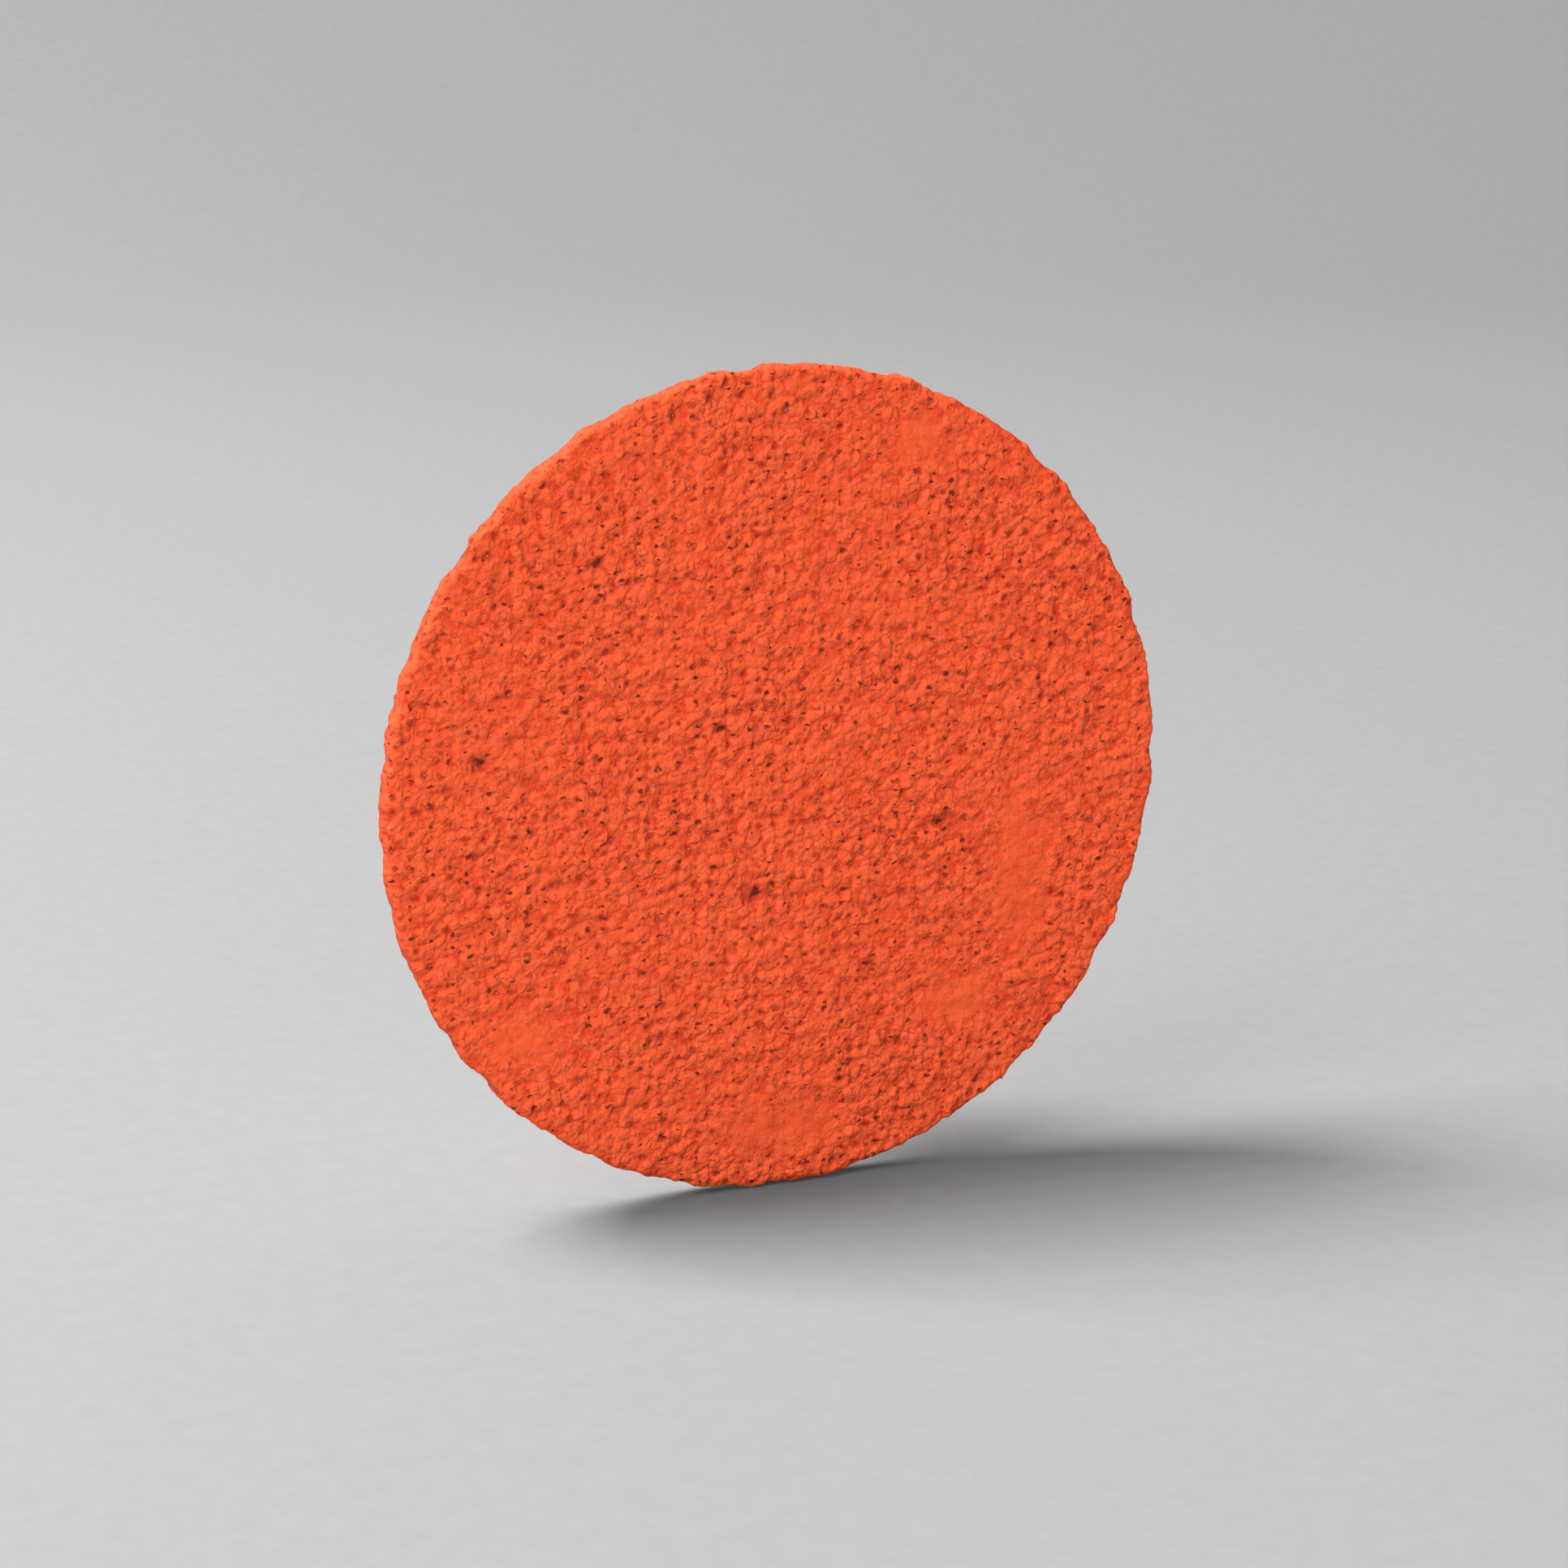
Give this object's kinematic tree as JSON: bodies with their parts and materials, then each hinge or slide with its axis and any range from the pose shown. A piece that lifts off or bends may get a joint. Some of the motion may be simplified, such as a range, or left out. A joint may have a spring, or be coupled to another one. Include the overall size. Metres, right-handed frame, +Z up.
{
  "type": "quick-change abrasive carving disc",
  "caption": "Round abrasive carving disc for a small angle grinder: orange-red coated grain on stiff fibre, with a coarse-threaded nylon button behind.",
  "frame": {"origin": "centre of the flat end of the button's central boss, on the spin axis", "axes": "+Y along the spin axis from the grain face towards the grinder; -Y is the way the grain face looks; +Z up with the disc standing on its rim"},
  "size_m": [0.051, 0.0121, 0.0509],
  "materials": {
    "supersize_coat": "chalky matt orange-red mineral-filled resin over bumpy grain",
    "grain_coat": "brown fused grain in cured phenolic resin",
    "make_coat": "thin cured phenolic resin",
    "vulcanised_fibre": "calendered dark red-brown vulcanised fibre, satin",
    "hot_melt_bond": "translucent straw-coloured hot-melt adhesive",
    "moulded_nylon": "injection-moulded natural nylon, satin"
  },
  "bodies": {
    "root": {"supersize_coat": "supersize_coat", "grain_coat": "grain_coat", "make_coat": "make_coat", "fibre_backing": "vulcanised_fibre", "bond_film": "hot_melt_bond", "threaded_button": "moulded_nylon"}
  },
  "joints": []
}
